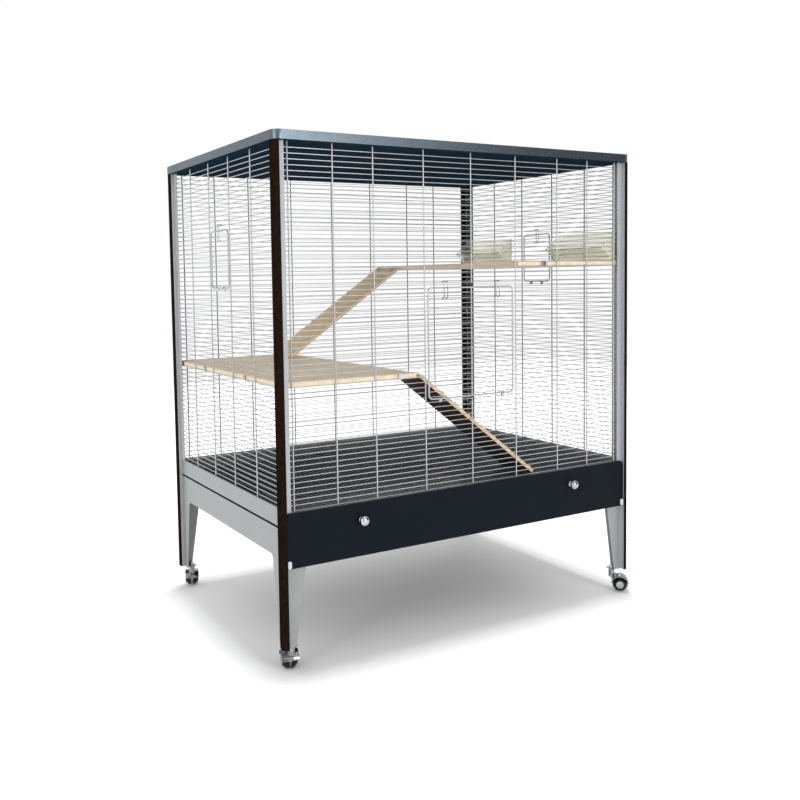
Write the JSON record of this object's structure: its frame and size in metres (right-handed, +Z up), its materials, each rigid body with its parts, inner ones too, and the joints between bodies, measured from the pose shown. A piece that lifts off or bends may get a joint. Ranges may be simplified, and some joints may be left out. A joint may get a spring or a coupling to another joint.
{
  "type": "ferret cage",
  "caption": "Tall wire ferret cage on a wheeled stand, with a board roof, doors, pull-out tray, two wooden shelves, hinged ramps and troughs.",
  "frame": {"origin": "on the floor under the middle of the whole outline, castors and knobs included", "axes": "+X right along the front, +Y towards the back, +Z up"},
  "size_m": [1.029, 0.7247, 1.155],
  "materials": {
    "roof": "fine matt texture",
    "aluminium": "satin anodised",
    "trim": "glossy dark brown",
    "sheet": "silver powder coat",
    "wire": "zinc-white coat",
    "slate": "anthracite powder coat",
    "tray": "dark moulded tray",
    "chrome": "polished",
    "clear": "milky clip",
    "wood": "bare pine",
    "cream": "translucent cream",
    "steel": "zinc plated",
    "wheel": "black moulded"
  },
  "bodies": {
    "frame": {"roof_board": "roof", "post_front_left": "aluminium", "post_front_right": "aluminium", "post_back_left": "aluminium", "post_back_right": "aluminium", "front_strips": "aluminium", "trim_front_left": "trim", "trim_front_right": "trim", "trim_back_left": "trim", "trim_back_right": "trim", "stand_left": "sheet", "stand_right": "sheet", "stand_back": "sheet", "rail_left": "sheet", "rail_right": "sheet", "rail_back": "sheet", "rail_front": "sheet", "floor_ledges": "sheet", "floor_grid": "wire", "grid_back": "wire", "grid_front_sill": "wire", "grid_front_jambs": "wire", "grid_front_head": "wire", "grid_left_sill": "wire", "grid_left_jambs": "wire", "grid_left_head": "wire", "grid_right_sill": "wire", "grid_right_jambs": "wire", "grid_right_head": "wire", "grid_clips": "steel", "shelf_lower": "wood", "shelf_upper": "wood", "shelf_bolts": "chrome", "ramp_pivots": "steel", "trough_front": "cream", "trough_back": "cream", "castor_stems": "steel"},
    "drawer": {"tray": "tray", "tray_walls": "tray", "drawer_front": "slate", "drawer_knobs": "chrome", "drawer_catches": "clear"},
    "front_door": {"door_front": "wire"},
    "left_door": {"door_left": "wire"},
    "right_door": {"door_right": "wire"},
    "front_left_latch": {"latch_front_left": "chrome"},
    "front_right_latch": {"latch_front_right": "chrome"},
    "left_latch": {"latch_left": "chrome"},
    "right_latch": {"latch_right": "chrome"},
    "lower_ramp": {"ramp_lower": "wood"},
    "upper_ramp": {"ramp_upper": "wood"},
    "swivel_front_left": {"hood_front_left": "chrome"},
    "wheel_pair_front_left": {"wheels_front_left": "wheel"},
    "swivel_front_right": {"hood_front_right": "chrome"},
    "wheel_pair_front_right": {"wheels_front_right": "wheel"},
    "swivel_back_left": {"hood_back_left": "chrome"},
    "wheel_pair_back_left": {"wheels_back_left": "wheel"},
    "swivel_back_right": {"hood_back_right": "chrome"},
    "wheel_pair_back_right": {"wheels_back_right": "wheel"}
  },
  "joints": [
    {"name": "drawer_slide", "type": "slide", "parent": "frame", "child": "drawer", "axis": [0, -1, 0], "range_m": [0, 0.55]},
    {"name": "front_door_hinge", "type": "hinge", "parent": "frame", "child": "front_door", "pos_m": [-0.00098, -0.33154, 0.5652], "axis": [1, 0, 0], "range_deg": [0, 130]},
    {"name": "left_door_hinge", "type": "hinge", "parent": "frame", "child": "left_door", "pos_m": [-0.49798, 0.00396, 0.8292], "axis": [0, -1, 0], "range_deg": [0, 130]},
    {"name": "right_door_hinge", "type": "hinge", "parent": "frame", "child": "right_door", "pos_m": [0.48502, -0.00804, 0.8292], "axis": [0, 1, 0], "range_deg": [0, 130]},
    {"name": "front_left_latch_pivot", "type": "hinge", "parent": "front_door", "child": "front_left_latch", "pos_m": [-0.07698, -0.32894, 0.798], "axis": [1, 0, 0], "range_deg": [0, 60]},
    {"name": "front_right_latch_pivot", "type": "hinge", "parent": "front_door", "child": "front_right_latch", "pos_m": [0.07502, -0.32894, 0.798], "axis": [1, 0, 0], "range_deg": [0, 60]},
    {"name": "left_latch_pivot", "type": "hinge", "parent": "left_door", "child": "left_latch", "pos_m": [-0.49538, 0.00396, 0.942], "axis": [0, -1, 0], "range_deg": [0, 60]},
    {"name": "right_latch_pivot", "type": "hinge", "parent": "right_door", "child": "right_latch", "pos_m": [0.48242, -0.00804, 0.942], "axis": [0, 1, 0], "range_deg": [0, 60]},
    {"name": "lower_ramp_hinge", "type": "hinge", "parent": "frame", "child": "lower_ramp", "pos_m": [-0.14748, -0.26474, 0.624], "axis": [0, -1, 0], "range_deg": [0, 60]},
    {"name": "upper_ramp_hinge", "type": "hinge", "parent": "frame", "child": "upper_ramp", "pos_m": [0.13452, 0.24866, 0.876], "axis": [0, 1, 0], "range_deg": [0, 60]},
    {"name": "swivel_front_left_turn", "type": "hinge", "parent": "frame", "child": "swivel_front_left", "pos_m": [-0.48348, -0.31804, 0.05], "axis": [0, 0, 1], "continuous": true},
    {"name": "wheels_front_left_spin", "type": "hinge", "parent": "swivel_front_left", "child": "wheel_pair_front_left", "pos_m": [-0.47891, -0.29652, 0.02], "axis": [-0.9781, 0.2079, 0], "continuous": true},
    {"name": "swivel_front_right_turn", "type": "hinge", "parent": "frame", "child": "swivel_front_right", "pos_m": [0.47052, -0.31804, 0.05], "axis": [0, 0, 1], "continuous": true},
    {"name": "wheels_front_right_spin", "type": "hinge", "parent": "swivel_front_right", "child": "wheel_pair_front_right", "pos_m": [0.4858, -0.33387, 0.02], "axis": [0.7193, 0.6947, 0], "continuous": true},
    {"name": "swivel_back_left_turn", "type": "hinge", "parent": "frame", "child": "swivel_back_left", "pos_m": [-0.48348, 0.31396, 0.05], "axis": [0, 0, 1], "continuous": true},
    {"name": "wheels_back_left_spin", "type": "hinge", "parent": "swivel_back_left", "child": "wheel_pair_back_left", "pos_m": [-0.47668, 0.33488, 0.02], "axis": [-0.9511, 0.309, 0], "continuous": true},
    {"name": "swivel_back_right_turn", "type": "hinge", "parent": "frame", "child": "swivel_back_right", "pos_m": [0.47052, 0.31396, 0.05], "axis": [0, 0, 1], "continuous": true},
    {"name": "wheels_back_right_spin", "type": "hinge", "parent": "swivel_back_right", "child": "wheel_pair_back_right", "pos_m": [0.46122, 0.3339, 0.02], "axis": [-0.9063, -0.4226, 0], "continuous": true}
  ]
}
